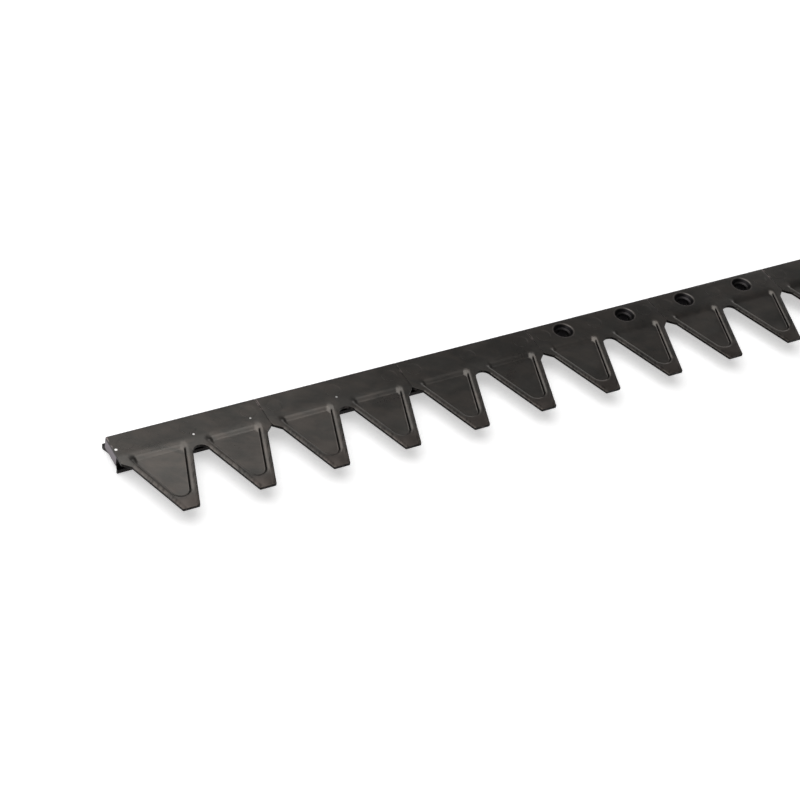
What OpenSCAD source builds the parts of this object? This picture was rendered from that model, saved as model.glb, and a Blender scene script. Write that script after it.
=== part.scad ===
// Knife of a sickle bar mower: double-tooth section plates riveted end to end on a
// flat bar, guide plates under the bar, countersunk drive holes at the middle.
// X runs along the knife, the teeth point to -Y and the shearing face is up.
// The origin is the centre of the row of drive holes, on the underside of the bar,
// where the knife head is bolted on.

/* [Section plates] */
// Distance from one tooth to the next
pitch = 50.8; // [42:0.1:62]
// Gap between neighbouring plates
plate_gap = 0.25; // [0.1:0.05:1]
// Sheet thickness of a plate
plate_t = 2; // [1.6:0.1:3]
// From the back edge to the blunt tips of the teeth
plate_depth = 74.2; // [61:0.1:90]
// Width of a blunt tip
tip_w = 11; // [8:0.1:14]
// Rounding of the two corners of a tip
tip_r = 0.8; // [0.2:0.1:2]
// From the back edge to the root between two teeth
root_depth = 26.4; // [24.5:0.1:31]
// Radius of the rounded root between the two teeth of one plate
root_r = 5.6; // [4:0.1:6.5]
// How far the ends of a plate stay straight, from the back edge
end_straight = 25.4; // [22:0.1:26]
// Width of the ground bevel along the sides of the teeth
bevel_w = 0.6; // [0.4:0.1:1.5]
// Height of that bevel
bevel_h = 0.25; // [0.2:0.05:0.8]

/* [Pressed fields] */
// Depth of the field that is pressed down in each tooth
field_depth = 2; // [0.8:0.1:2.4]
// Land along X between the side of a tooth and the start of the roll into its field
field_land = 2.6; // [2.4:0.1:3.4]
// Width along X of that roll and of the wall under it, down to the floor
field_side = 3.3; // [2.8:0.1:3.8]
// Clearance along Y between the front of the bar and the start of the rear roll
field_gap = 0.8; // [0.3:0.1:2]
// Width of the rear roll and slope
field_back_w = 7.7; // [5:0.1:9]
// From the tip to the end of the field's floor
field_tip = 12.2; // [11:0.1:18]
// Radius of the floor's two rear corners
field_corner_r = 1.6; // [0.8:0.1:2.4]
// How much wider that radius is at the plate's surface
field_corner_roll = 3; // [1:0.1:4]
// How far the sides of the bulge beneath stand out past the walls of the field
bulge_out = 0.9; // [0.5:0.1:1.4]

/* [Knife bar] */
// Width of the bar
bar_w = 18; // [16:0.1:22]
// Thickness of the bar
bar_t = 8; // [5:0.1:10]
// How far the bar stands out behind the plates
bar_behind = 1.2; // [0:0.1:3]
// Chamfer along the bar's four long edges
bar_chamfer = 0.5; // [0.2:0.1:1]
// How far each end of the bar stays back from the end of the plates
bar_end_gap = 0.2; // [0:0.1:2]

/* [Guide plates] */
// Length of a guide plate, in tooth pitches
guide_span = 1.6; // [1.4:0.01:1.66]
// From the knife's end to the start of the inner guide plate, in tooth pitches
guide_start = 2.82; // [2.7:0.01:2.86]
// Width of a guide plate
guide_w = 25.4; // [23:0.1:32]
// Thickness of a guide plate
guide_t = 3.5; // [2.8:0.1:5]
// How far a guide plate stands out behind the section plates
guide_behind = 5; // [3:0.1:6]
// Depth of the hollow in each end of a guide plate
guide_hollow = 2.6; // [1:0.1:3.5]
// Width of the horn that the hollow leaves at the back
guide_horn_back = 2; // [1:0.1:4]
// Width of the horn that it leaves in front
guide_horn_front = 1.6; // [1:0.1:4]
// Chamfer along the lower long edges of a guide plate
guide_chamfer = 0.6; // [0.2:0.1:1.2]

/* [Rivets] */
// Shank diameter of a rivet
rivet_d = 6; // [5:0.1:7]
// Diameter of its flush head in the shearing face
rivet_head_d = 10.4; // [9:0.1:12]
// Angle across the countersunk head
rivet_angle = 90; // [80:1:100]
// Diameter of the round head under the bar
rivet_foot_d = 10; // [8:0.1:11]
// Height of the round head
rivet_foot_h = 2.4; // [1.5:0.1:2.7]
// Diameter of the flush foot of a rivet that also holds a guide plate
rivet_tail_d = 9; // [7.5:0.1:10]
// From the end of a plate to its outer rivets
rivet_end = 9.2; // [8:0.1:11]
// Radial clearance of a rivet in its holes
rivet_play = 0.06; // [0.03:0.01:0.1]

/* [Drive holes] */
// Diameter of the holes that take the bolts of the knife head
drive_d = 8.2; // [6:0.1:9]
// Diameter of their countersink in the shearing face
drive_head_d = 14.4; // [12:0.1:16]
// Angle across the countersink
drive_angle = 90; // [80:1:100]
// From the front of the bar back to the row of rivets and drive holes
row_front = 7.1; // [7:0.1:9]

/* [Hidden] */

steel = [0.36, 0.34, 0.32];
rivet_steel = [0.40, 0.38, 0.36];
bar_steel = [0.27, 0.25, 0.26];
guide_steel = [0.18, 0.17, 0.17];

plates = 8;
plate_pitch = 2 * pitch;
plate_len = plate_pitch - plate_gap;
knife_len = plates * plate_pitch;

// depths from the plates' back edge: front of the bar, hole row, start of the fields' rear roll
bar_front = bar_w - bar_behind;
row_y = bar_front - row_front;
field_back = bar_front + field_gap;

// angle of a tooth side to Y: it runs from the tip to the root circle, touching it
root_centre = root_depth + root_r;
tip_gap = (pitch - tip_w) / 2;
tooth_run = plate_depth - root_centre;
side_angle = atan(tip_gap / tooth_run) - asin(root_r / norm([tip_gap, tooth_run]));
side_slope = tan(side_angle);
side_start = root_centre - root_r * sin(side_angle);

// section through the edge of a field: shares of the side width, of the rear width and of the depth
field_rings = [
  [0, 0, -0.005],
  [0.24, 0.23, 0.03],
  [0.45, 0.43, 0.11],
  [0.62, 0.57, 0.28],
  [0.71, 0.69, 0.52],
  [0.79, 0.8, 0.8],
  [0.88, 0.9, 0.94],
  [1, 1, 1]
];

// the floor of a field ends in an arc that touches both of its sides
floor_inset = field_land + field_side;
floor_r = (tip_w / 2 + field_tip * side_slope - floor_inset)
  * cos(side_angle) / (1 - sin(side_angle));
floor_centre = plate_depth - field_tip - floor_r;

// heights below are measured from the shearing face, which the bar carries at face_z
face_z = plate_t + bar_t;
bar_top = -plate_t;
bar_under = bar_top - bar_t;
guide_under = bar_under - guide_t;
guide_len = guide_span * pitch;

// rivets and drive holes of one plate, along X from its middle
rivet_x = [rivet_end - plate_pitch / 2, 0, plate_pitch / 2 - rivet_end];
drive_x = [-pitch / 2, pitch / 2];

// left ends of the guide plates: the right half mirrors the left
guide_x = [
  -knife_len / 2,
  -knife_len / 2 + guide_start * pitch,
  knife_len / 2 - guide_start * pitch - guide_len,
  knife_len / 2 - guide_len
];

// middle of plate n along X, counted from 1 at the left end
function plate_x(n) = (n - 0.5 - plates / 2) * plate_pitch;

// half width of a tooth at a depth from the back edge
function tooth_half(depth) = tip_w / 2 + (plate_depth - depth) * side_slope;

// points on an arc, from angle a to angle b
function arc(x, y, r, a, b, steps) = [
  for (i = [0 : steps])
    let (t = a + (b - a) * i / steps)
    [x + r * cos(t), y + r * sin(t)]
];

// the two rounded corners of the blunt tip of a tooth centred on x
function tip_points(x) =
  let (cx = tooth_half(plate_depth - tip_r) - tip_r / cos(side_angle))
  concat(
    arc(x - cx, tip_r - plate_depth, tip_r, 180 + side_angle, 270, 3),
    arc(x + cx, tip_r - plate_depth, tip_r, 270, 360 - side_angle, 3)
  );

// all places along X of the rivets, and of the drive holes in the two middle plates
all_rivets = [for (n = [1 : plates]) for (x = rivet_x) plate_x(n) + x];
all_drives = [for (n = [plates / 2, plates / 2 + 1]) for (x = drive_x) plate_x(n) + x];

// true where a rivet at x goes through a guide plate too
function on_guide(x) = len([for (g = guide_x) if (x > g && x < g + guide_len) g]) > 0;

// outline of one double-tooth plate about its middle, back edge on y = 0
module plate_outline() {
  end_x = plate_len / 2;
  corner_x = pitch / 2 + tooth_half(side_start);
  polygon(concat(
    [[-end_x, 0], [-end_x, -end_straight], [-corner_x, -side_start]],
    tip_points(-pitch / 2),
    arc(0, -root_centre, root_r, 180 - side_angle, side_angle, 16),
    tip_points(pitch / 2),
    [[corner_x, -side_start], [end_x, -end_straight], [end_x, 0]]
  ));
}

// outline of a field at height z: two rear corners and the arc near the tip, counter-clockwise
function field_ring(inset, back, corner_r, z) =
  let (
    depth = back + corner_r,
    cx = tooth_half(depth) - inset - corner_r / cos(side_angle),
    end_r = floor_r + (floor_inset - inset) * cos(side_angle),
    flat = concat(
      arc(-cx, -depth, corner_r, 90, 180 + side_angle, 6),
      arc(0, -floor_centre, end_r, 180 + side_angle, 360 - side_angle, 12),
      arc(cx, -depth, corner_r, 360 - side_angle, 450, 6)
    )
  )
  [for (p = flat) [p[0], p[1], z]];

// body of a field from height z down, with its sides out past the field's own walls
module field_body(z, out) {
  rings = [
    for (k = field_rings)
      field_ring(
        floor_inset - (1 - k[0]) * field_side - out,
        field_back + k[1] * field_back_w,
        field_corner_r + (1 - k[0]) * field_corner_roll,
        z - k[2] * field_depth
      )
  ];
  m = len(rings[0]);
  last = len(rings) - 1;
  polyhedron(
    points = [for (ring = rings) for (p = ring) p],
    faces = concat(
      [[for (i = [m - 1 : -1 : 0]) i]],
      [[for (i = [0 : m - 1]) last * m + i]],
      [
        for (k = [0 : last - 1])
          for (i = [0 : m - 1])
            [k * m + i, k * m + (i + 1) % m, (k + 1) * m + (i + 1) % m]
      ],
      [
        for (k = [0 : last - 1])
          for (i = [0 : m - 1])
            [k * m + i, (k + 1) * m + (i + 1) % m, (k + 1) * m + i]
      ]
    )
  );
}

// wedges above the ground bevels along both sides of a tooth
module bevel_cuts() {
  start = side_start + 0.8;
  run = (plate_depth - start) / cos(side_angle) + 2;
  for (m = [0, 1])
    mirror([m, 0, 0])
      translate([tooth_half(start), -start, 0])
        rotate([0, 0, -side_angle])
          rotate([90, 0, 0])
            linear_extrude(height = run)
              polygon([[-bevel_w, 0], [0, -bevel_h], [0.6, -bevel_h], [0.6, 0.6], [-bevel_w, 0.6]]);
}

// what a countersunk hole takes away, from above the shearing face to a depth
module hole(d, head_d, angle, depth) {
  head_h = (head_d - d) / 2 / tan(angle / 2);
  over = 0.5;
  translate([0, 0, -depth])
    cylinder(d = d, h = depth, $fn = 48);
  translate([0, 0, -head_h])
    cylinder(d1 = d, d2 = head_d + 2 * over * tan(angle / 2), h = head_h + over, $fn = 48);
}

// the holes of the whole row, cut down to a depth
module row_holes(depth) {
  for (x = all_rivets)
    translate([x, 0, 0])
      hole(rivet_d + 2 * rivet_play, rivet_head_d + 2 * rivet_play, rivet_angle, depth);
  for (x = all_drives)
    translate([x, 0, 0])
      hole(drive_d, drive_head_d, drive_angle, depth);
}

// one double-tooth plate with pressed fields, ground bevels and its own holes
module section(n) {
  color(steel)
    translate([0, 0, face_z])
      difference() {
        translate([plate_x(n), row_y, 0])
          difference() {
            union() {
              translate([0, 0, -plate_t])
                linear_extrude(height = plate_t)
                  plate_outline();
              for (x = [-pitch / 2, pitch / 2])
                translate([x, 0, 0])
                  field_body(-plate_t, bulge_out);
            }
            for (x = [-pitch / 2, pitch / 2])
              translate([x, 0, 0]) {
                field_body(0, 0);
                bevel_cuts();
              }
          }
        for (x = rivet_x)
          translate([plate_x(n) + x, 0, 0])
            hole(rivet_d + 2 * rivet_play, rivet_head_d + 2 * rivet_play, rivet_angle, plate_t + 1);
        if (n == plates / 2 || n == plates / 2 + 1)
          for (x = drive_x)
            translate([plate_x(n) + x, 0, 0])
              hole(drive_d, drive_head_d, drive_angle, plate_t + 1);
      }
}

// one rivet: flush head on top, and below a round head on the bar or, where it
// holds a guide plate, a flush foot in that plate's underside
module rivet(long) {
  head_h = (rivet_head_d - rivet_d) / 2 / tan(rivet_angle / 2);
  tail_h = (rivet_tail_d - rivet_d) / 2 / tan(rivet_angle / 2);
  under = long ? guide_under : bar_under;
  translate([0, 0, -head_h])
    cylinder(d1 = rivet_d, d2 = rivet_head_d, h = head_h, $fn = 48);
  translate([0, 0, under])
    cylinder(d = rivet_d, h = -under - head_h, $fn = 48);
  if (long)
    translate([0, 0, under])
      cylinder(d1 = rivet_tail_d, d2 = rivet_d, h = tail_h, $fn = 48);
  else
    round_head(under);
}

// low round head that hangs below height z
module round_head(z) {
  r = rivet_foot_d / 2;
  ball = (r * r + rivet_foot_h * rivet_foot_h) / 2 / rivet_foot_h;
  intersection() {
    translate([0, 0, z - rivet_foot_h + ball])
      sphere(r = ball, $fn = 48);
    translate([0, 0, z - rivet_foot_h - 1])
      cylinder(d = rivet_foot_d + 2, h = rivet_foot_h + 1, $fn = 48);
  }
}

// the three rivets of one plate
module rivets(n) {
  color(rivet_steel)
    for (x = rivet_x)
      translate([plate_x(n) + x, 0, face_z])
        rivet(on_guide(plate_x(n) + x));
}

// rectangle in Y and Z with its corners cut off by low and high
module chamfered(back, front, under, top, low, high) {
  polygon([
    [front + low, under], [back - low, under], [back, under + low], [back, top - high],
    [back - high, top], [front + high, top], [front, top - high], [front, under + low]
  ]);
}

// the flat bar that carries every plate
module knife_bar() {
  back = row_y + bar_behind;
  length = knife_len - plate_gap - 2 * bar_end_gap;
  color(bar_steel)
    translate([0, 0, face_z])
      difference() {
        translate([-length / 2, 0, 0])
          rotate([90, 0, 90])
            linear_extrude(height = length)
              chamfered(back, back - bar_w, bar_under, bar_top, bar_chamfer, bar_chamfer);
        row_holes(plate_t + bar_t + 1);
      }
}

// guide plate n under the bar, with a hollow in both ends
module guide(n) {
  back = row_y + guide_behind;
  front = back - guide_w;
  x0 = guide_x[n - 1];
  half_chord = (guide_w - guide_horn_back - guide_horn_front) / 2;
  hollow_y = front + guide_horn_front + half_chord;
  hollow_r = (half_chord * half_chord + guide_hollow * guide_hollow) / 2 / guide_hollow;
  tail_h = (rivet_tail_d - rivet_d) / 2 / tan(rivet_angle / 2);
  color(guide_steel)
    translate([0, 0, face_z])
      difference() {
        translate([x0, 0, 0])
          rotate([90, 0, 90])
            linear_extrude(height = guide_len)
              chamfered(back, front, guide_under, bar_under, guide_chamfer, 0.2);
        for (s = [0, 1])
          translate([x0 + s * guide_len + (2 * s - 1) * (hollow_r - guide_hollow), hollow_y, guide_under - 1])
            cylinder(r = hollow_r, h = guide_t + 2, $fn = 120);
        for (x = all_rivets)
          if (x > x0 && x < x0 + guide_len)
            translate([x, 0, guide_under]) {
              translate([0, 0, -1])
                cylinder(d = rivet_d + 2 * rivet_play, h = guide_t + 2, $fn = 48);
              translate([0, 0, -1])
                cylinder(
                  d1 = rivet_tail_d + 2 * rivet_play + 2 * tan(rivet_angle / 2),
                  d2 = rivet_d + 2 * rivet_play,
                  h = tail_h + 1,
                  $fn = 48
                );
            }
      }
}

section(1);  // section_1
section(2);  // section_2
section(3);  // section_3
section(4);  // section_4
section(5);  // section_5
section(6);  // section_6
section(7);  // section_7
section(8);  // section_8
rivets(1);  // rivets_1
rivets(2);  // rivets_2
rivets(3);  // rivets_3
rivets(4);  // rivets_4
rivets(5);  // rivets_5
rivets(6);  // rivets_6
rivets(7);  // rivets_7
rivets(8);  // rivets_8
knife_bar();
guide(1);  // guide_1
guide(2);  // guide_2
guide(3);  // guide_3
guide(4);  // guide_4
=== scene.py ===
"""Looks, light and photo view of the sickle bar mower knife."""

import math

import bpy
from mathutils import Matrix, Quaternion, Vector


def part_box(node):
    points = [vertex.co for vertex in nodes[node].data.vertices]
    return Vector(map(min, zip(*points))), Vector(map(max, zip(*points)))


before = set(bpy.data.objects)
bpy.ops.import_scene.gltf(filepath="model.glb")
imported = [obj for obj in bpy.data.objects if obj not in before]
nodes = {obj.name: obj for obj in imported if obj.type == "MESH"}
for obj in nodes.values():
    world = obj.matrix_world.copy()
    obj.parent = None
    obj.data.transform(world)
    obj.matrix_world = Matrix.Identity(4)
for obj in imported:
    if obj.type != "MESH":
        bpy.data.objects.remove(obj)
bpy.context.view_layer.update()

PITCH = 0.0508
ROW_Y = 0.0097  # back edge of the plates
DEPTH = 0.0742  # from there to the tips
TIP_HALF = 0.0055  # half the width of a tip
SIDE_SLOPE = 0.33266  # how much a tooth's half width grows with the distance from its tip
DRIVE_X = 0.0254  # half the spacing of the drive holes
SINK_R = 0.0072  # radius of their countersinks
BORE_Y = 0.005  # no wall of a drive hole lies further than this from the row's middle line
FLOOR_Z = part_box("guide_1")[0].z


class Value:
    """A number in a material's node tree; arithmetic on it adds Math nodes."""

    def __init__(self, tree, socket):
        self.tree = tree
        self.socket = socket

    def made(self, operation, *parts):
        node = self.tree.nodes.new("ShaderNodeMath")
        node.operation = operation
        for part, target in zip(parts, node.inputs):
            if isinstance(part, Value):
                self.tree.links.new(part.socket, target)
            else:
                target.default_value = part
        return Value(self.tree, node.outputs[0])

    def __add__(self, other):
        return self.made("ADD", self, other)

    def __radd__(self, other):
        return self.made("ADD", other, self)

    def __sub__(self, other):
        return self.made("SUBTRACT", self, other)

    def __rsub__(self, other):
        return self.made("SUBTRACT", other, self)

    def __mul__(self, other):
        return self.made("MULTIPLY", self, other)

    def __rmul__(self, other):
        return self.made("MULTIPLY", other, self)

    def __abs__(self):
        return self.made("ABSOLUTE", self)

    def root(self):
        return self.made("SQRT", self)

    def fraction(self):
        return self.made("FRACT", self)

    def greater(self, other):
        return self.made("MAXIMUM", self, other)

    def step(self, low, high):
        """0 up to low, 1 from high on, smooth between; falling where low is above high."""
        node = self.tree.nodes.new("ShaderNodeMapRange")
        node.interpolation_type = "SMOOTHSTEP"
        self.tree.links.new(self.socket, node.inputs["Value"])
        rising = low < high
        node.inputs["From Min"].default_value = low if rising else high
        node.inputs["From Max"].default_value = high if rising else low
        node.inputs["To Min"].default_value = 0 if rising else 1
        node.inputs["To Max"].default_value = 1 if rising else 0
        return Value(self.tree, node.outputs["Result"])


class Material:
    """A procedural material on the row's own coordinates, in metres."""

    def __init__(self, name):
        self.data = bpy.data.materials.new(name)
        self.data.use_nodes = True
        self.tree = self.data.node_tree
        self.tree.nodes.clear()
        self.output = self.tree.nodes.new("ShaderNodeOutputMaterial")
        self.place = self.tree.nodes.new("ShaderNodeTexCoord").outputs["Object"]
        parts = self.tree.nodes.new("ShaderNodeSeparateXYZ")
        self.tree.links.new(self.place, parts.inputs[0])
        self.x, self.y, self.z = (Value(self.tree, s) for s in parts.outputs)

    def facing(self, axis):
        """1 on faces square to an axis, X, Y or Z, and 0 on faces along it."""
        geometry = self.tree.nodes.new("ShaderNodeNewGeometry")
        parts = self.tree.nodes.new("ShaderNodeSeparateXYZ")
        self.tree.links.new(geometry.outputs["True Normal"], parts.inputs[0])
        return abs(Value(self.tree, parts.outputs[axis]))

    def upright(self):
        """1 on upright faces, such as sheared sides and the walls of holes."""
        return self.facing("Z").step(0.75, 0.45)

    def noise(self, scale, detail=3.0, rough=0.5, stretch=None, turn=0.0, warp=0.0):
        node = self.tree.nodes.new("ShaderNodeTexNoise")
        node.inputs["Scale"].default_value = scale
        node.inputs["Detail"].default_value = detail
        node.inputs["Roughness"].default_value = rough
        node.inputs["Distortion"].default_value = warp
        source = self.place
        if stretch:
            mapping = self.tree.nodes.new("ShaderNodeMapping")
            mapping.vector_type = "TEXTURE"
            mapping.inputs["Rotation"].default_value = (0, 0, math.radians(turn))
            mapping.inputs["Scale"].default_value = stretch
            self.tree.links.new(source, mapping.inputs["Vector"])
            source = mapping.outputs[0]
        self.tree.links.new(source, node.inputs["Vector"])
        return Value(self.tree, node.outputs["Fac"])

    def mix(self, factor, first, second):
        node = self.tree.nodes.new("ShaderNodeMix")
        node.data_type = "RGBA"
        self.tree.links.new(factor.socket, node.inputs[0])
        for part, target in ((first, node.inputs[6]), (second, node.inputs[7])):
            if isinstance(part, tuple):
                target.default_value = (*part, 1)
            else:
                self.tree.links.new(part, target)
        return node.outputs[2]

    def shade(self, colour, factor):
        """colour made lighter or darker by a factor."""
        node = self.tree.nodes.new("ShaderNodeMix")
        node.data_type = "RGBA"
        node.blend_type = "MULTIPLY"
        node.inputs[0].default_value = 1
        self.tree.links.new(colour, node.inputs[6])
        grey = self.tree.nodes.new("ShaderNodeCombineColor")
        for target in grey.inputs:
            self.tree.links.new(factor.socket, target)
        self.tree.links.new(grey.outputs[0], node.inputs[7])
        return node.outputs[2]

    def bump(self, height, distance, below=None):
        node = self.tree.nodes.new("ShaderNodeBump")
        node.inputs["Strength"].default_value = 1
        node.inputs["Distance"].default_value = distance
        self.tree.links.new(height.socket, node.inputs["Height"])
        if below:
            self.tree.links.new(below, node.inputs["Normal"])
        return node.outputs[0]

    def finish(self, colour, rough, normal):
        node = self.tree.nodes.new("ShaderNodeBsdfPrincipled")
        node.inputs["Metallic"].default_value = 1
        self.tree.links.new(colour, node.inputs["Base Color"])
        self.tree.links.new(rough.socket, node.inputs["Roughness"])
        self.tree.links.new(normal, node.inputs["Normal"])
        self.tree.links.new(node.outputs[0], self.output.inputs["Surface"])
        return self.data


def from_side(m):
    """Distance of a point from the nearest side of its tooth, along X, and its depth from the back edge."""
    depth = ROW_Y - m.y
    across = abs((m.x * (1 / PITCH) + 16).fraction() - 0.5) * PITCH
    half = TIP_HALF + (DEPTH - depth) * SIDE_SLOPE
    return half - across, depth


# painted highlights: near-white glint spots, x, y and radius
PAINTED_GLINTS = (
    (-0.4046, -0.0030, 0.0012),
    (-0.35458, -0.0068, 0.0009),
    (-0.31521, -0.0058, 0.0008),
    (-0.25451, -0.0068, 0.0009),
)


def plate_finish(name):
    """Burnished steel of the plates and of the rivets, which are ground flush with them."""
    m = Material(name)
    inset, depth = from_side(m)
    cloud = m.noise(30, 3, 0.6, stretch=(1.6, 1, 1), turn=30, warp=0.8)
    patch = m.noise(95, 4, 0.6, stretch=(2, 1, 1), turn=-35, warp=0.5)
    grain = m.noise(900, 2, 0.6)
    rolled = m.noise(60, 3, 0.6, stretch=(6, 1, 1), turn=14)
    # broad burnished clouds over a darker strip where the bar lies beneath, with painted shade darkening it
    # further at the left end
    strip = depth.step(0.0205, 0.0165)
    tone = 1.0 + 0.5 * (cloud - 0.5) + 0.5 * (patch - 0.5) + 0.12 * (grain - 0.5)
    # painted shade: the strip darkened further towards the left end
    left_end_shade = m.x.step(-0.30, -0.39)
    tone = tone * (1 - strip * (0.10 + 0.25 * left_end_shade))
    colour = m.mix(patch.step(0.35, 0.65), (0.108, 0.103, 0.096), (0.121, 0.109, 0.099))
    # browner towards the tips
    colour = m.mix(depth.step(0.058, 0.070) * 0.6, colour, (0.124, 0.103, 0.092))
    colour = m.shade(colour, tone)
    # painted highlight: bright lines along the butted ends, at the back
    seam = abs((m.x * (0.5 / PITCH) + 0.5).fraction() - 0.5) * (2 * PITCH)
    seam_highlight = m.noise(160, 2, 0.6).step(0.42, 0.58) * seam.step(0.0011, 0.0005) * depth.step(0.012, 0.009)
    colour = m.mix(seam_highlight, colour, (0.26, 0.22, 0.21))
    # strokes of the grinding wheel along the rims of the teeth
    rim = inset.step(0.0030, 0.0022) * depth.step(0.030, 0.034)
    strokes = m.noise(700, 2, 0.5, stretch=(1, 7, 1), turn=-38)
    colour = m.shade(colour, 1 - rim * (0.02 + 0.42 * strokes.step(0.42, 0.66)))
    # countersinks of the drive holes: painted shade inside, with a painted highlight ring round their rim
    from_hole = abs(abs(m.x) - 2 * DRIVE_X) - DRIVE_X
    from_hole = (from_hole * from_hole + m.y * m.y).root()
    sink_highlight = from_hole.step(SINK_R + 0.0010, SINK_R + 0.0004) * from_hole.step(SINK_R - 0.0006, SINK_R)
    colour = m.mix(sink_highlight * 0.6, colour, (0.22, 0.20, 0.19))
    # painted shade: near black inside the countersinks
    colour = m.mix(from_hole.step(SINK_R - 0.0001, SINK_R - 0.0008), colour, (0.016, 0.015, 0.016))
    # painted shade: upright sheared faces made dark
    upright = m.upright()
    torn = m.noise(500, 3, 0.6, stretch=(1, 1, 5))
    dark = m.mix(torn.step(0.45, 0.7), (0.009, 0.008, 0.008), (0.040, 0.036, 0.034))
    colour = m.mix(upright, colour, dark)
    # painted highlights: near-white spots at the glint places
    for x, y, size in PAINTED_GLINTS:
        far = ((m.x - x) * (m.x - x) + (m.y - y) * (m.y - y)).root()
        colour = m.mix(far.step(size, size * 0.5), colour, (0.9, 0.88, 0.86))
    rough = 0.30 + 0.10 * (cloud - 0.5) + 0.08 * (grain - 0.5) + 0.05 * rim + 0.18 * upright
    rough = rough + 0.04 * rolled.step(0.5, 0.7)
    normal = m.bump(rolled + 0.5 * patch, 0.00016)
    normal = m.bump(grain, 0.000012, normal)
    normal = m.bump(strokes * rim, 0.00006, normal)
    return m.finish(colour, rough, normal)


SAWN = (0.13, 0.11, 0.125)  # colour of the bar's sawn ends
BORE_SHADE = (0.010, 0.009, 0.010)  # and painted shade on the walls of its holes
ENDS_X = 0.30  # upright faces further out than this are at the ends


def plain_steel(name, low, high, rough, ends=None):
    """Dark rolled steel between two colours; ends, where given, is the colour of sawn ends."""
    m = Material(name)
    cloud = m.noise(60, 4, 0.6)
    grain = m.noise(800, 2, 0.6)
    colour = m.mix(cloud.step(0.35, 0.65), low, high)
    colour = m.shade(colour, 0.92 + 0.16 * grain)
    if ends:
        outer = abs(m.x).step(ENDS_X, ENDS_X + 0.01)
        colour = m.mix(m.facing("X").step(0.7, 0.9) * outer, colour, ends)
        # painted shade: the walls of the bar's holes made near black
        bore_shade_mask = m.upright() * abs(m.y).step(BORE_Y + 0.0005, BORE_Y - 0.0005)
        colour = m.mix(bore_shade_mask * (1 - outer), colour, BORE_SHADE)
    normal = m.bump(cloud + 0.3 * grain, 0.00008)
    return m.finish(colour, rough + 0.12 * (cloud - 0.5) + 0.06 * (grain - 0.5), normal)


FINISH = {
    "section": plate_finish("section_steel"),
    "rivets": plate_finish("rivet_steel"),
    "knife": plain_steel("bar_steel", (0.040, 0.037, 0.037), (0.060, 0.056, 0.057), 0.42, SAWN),
    "guide": plain_steel("guide_steel", (0.016, 0.015, 0.015), (0.028, 0.026, 0.026), 0.45),
}
ROUNDING = {"section": 0.00012, "rivets": 0.00006, "knife": 0.0002, "guide": 0.0002}

for name, obj in nodes.items():
    kind = name.split("_")[0]
    obj.data.materials.clear()
    obj.data.materials.append(FINISH[kind])
    bpy.context.view_layer.objects.active = obj
    bpy.ops.mesh.customdata_custom_splitnormals_clear()
    obj.data.polygons.foreach_set("use_smooth", [True] * len(obj.data.polygons))
    weld = obj.modifiers.new("weld", "WELD")
    weld.merge_threshold = 0.000002
    edge = obj.modifiers.new("edges", "BEVEL")
    edge.width = ROUNDING[kind]
    edge.segments = 2
    edge.limit_method = "ANGLE"
    edge.angle_limit = math.radians(34)
    smooth = obj.modifiers.new("smooth", "WEIGHTED_NORMAL")
    smooth.mode = "FACE_AREA_WITH_ANGLE"
    smooth.weight = 50


# floor: white in view and in reflections, and it keeps the shadow
def floor_finish():
    m = Material("floor_white")
    white = m.tree.nodes.new("ShaderNodeBsdfDiffuse")
    white.inputs["Color"].default_value = (0.9, 0.9, 0.9, 1)
    glow = m.tree.nodes.new("ShaderNodeEmission")
    path = m.tree.nodes.new("ShaderNodeLightPath")
    seen = Value(m.tree, path.outputs["Is Camera Ray"])
    seen = seen.greater(Value(m.tree, path.outputs["Is Glossy Ray"]))
    seen = seen.greater(Value(m.tree, path.outputs["Is Transmission Ray"]))
    m.tree.links.new((seen * 0.5).socket, glow.inputs["Strength"])
    both = m.tree.nodes.new("ShaderNodeAddShader")
    m.tree.links.new(white.outputs[0], both.inputs[0])
    m.tree.links.new(glow.outputs[0], both.inputs[1])
    m.tree.links.new(both.outputs[0], m.output.inputs["Surface"])
    return m.data


bpy.ops.mesh.primitive_plane_add(size=60, location=(0, 0, FLOOR_Z))
floor = bpy.context.object
floor.name = "floor"
floor.data.materials.append(floor_finish())

# studio: dim surround, two softboxes overhead, one low at the back right
world = bpy.data.worlds.new("studio")
bpy.context.scene.world = world
world.use_nodes = True
world.node_tree.nodes["Background"].inputs["Color"].default_value = (1, 1, 1, 1)
world.node_tree.nodes["Background"].inputs["Strength"].default_value = 0.14


def softbox(name, place, aim, size, level, roll=0.0):
    """Rectangular lamp at a place, facing aim, whose surface looks as bright as level."""
    data = bpy.data.lights.new(name, "AREA")
    data.shape = "RECTANGLE"
    data.size, data.size_y = size
    data.energy = level * math.pi * size[0] * size[1]
    lamp = bpy.data.objects.new(name, data)
    lamp.location = place
    turn = (Vector(aim) - Vector(place)).to_track_quat("-Z", "Y")
    lamp.rotation_mode = "QUATERNION"
    lamp.rotation_quaternion = turn @ Quaternion((0, 0, 1), math.radians(roll))
    bpy.context.scene.collection.objects.link(lamp)


softbox("overhead", (-0.98, -0.10, 2.0), (-0.98, -0.10, 0), (3.0, 1.7), 1.7, -10)
softbox("overhead_back", (-0.90, 2.00, 2.0), (-0.90, 2.00, 0), (3.0, 2.2), 1.5, -10)
softbox("back_right", (2.3, 2.2, 0.95), (0, 0, 0.0), (2.2, 0.9), 1.2)

# camera of the photograph
camera_data = bpy.data.cameras.new("photo_view")
camera_data.lens = 88.6877
camera_data.sensor_width = 36
camera = bpy.data.objects.new("photo_view", camera_data)
camera.location = (-0.76156, -0.80800, 0.85194)
camera.rotation_euler = (0.8408452, -0.1279996, -0.4933271)
bpy.context.scene.collection.objects.link(camera)
bpy.context.scene.camera = camera
bpy.context.scene.view_settings.view_transform = "Standard"
